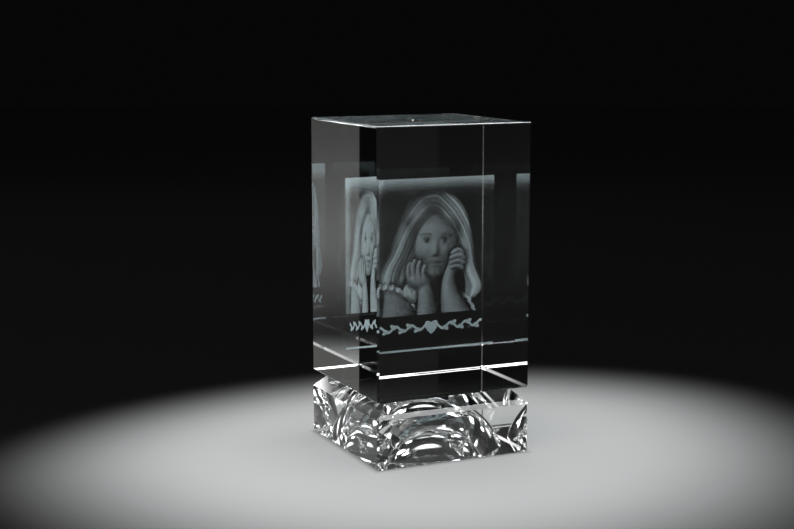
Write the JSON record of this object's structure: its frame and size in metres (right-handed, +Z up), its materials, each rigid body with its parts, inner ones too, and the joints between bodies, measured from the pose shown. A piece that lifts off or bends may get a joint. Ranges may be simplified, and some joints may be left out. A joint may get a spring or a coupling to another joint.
{
  "type": "engraved crystal block",
  "caption": "Upright clear glass block with a picture laser-engraved inside it, standing loose on a bevelled glass base that has a domed hollow in its underside.",
  "frame": {"origin": "centre of the base's underside", "axes": "+Z up, the engraved picture faces -Y, +X to the right of someone who looks at the picture"},
  "size_m": [0.05, 0.05, 0.1],
  "materials": {
    "clear_glass": "polished optical glass, with finely ground bevels",
    "cracked_glass": "matt white, glass fractured by a laser"
  },
  "bodies": {
    "base": {"crystal_base": "clear_glass"},
    "block": {"crystal_block": "clear_glass", "engraved_backdrop": "cracked_glass", "engraved_hair": "cracked_glass", "engraved_face": "cracked_glass", "engraved_left_arm": "cracked_glass", "engraved_right_arm": "cracked_glass", "engraved_sleeve": "cracked_glass", "engraved_ornament": "cracked_glass", "engraved_border_line": "cracked_glass"}
  },
  "joints": [
    {"name": "block_lift", "type": "slide", "parent": "base", "child": "block", "axis": [0, 0, 1], "range_m": [0, 0.05]}
  ]
}
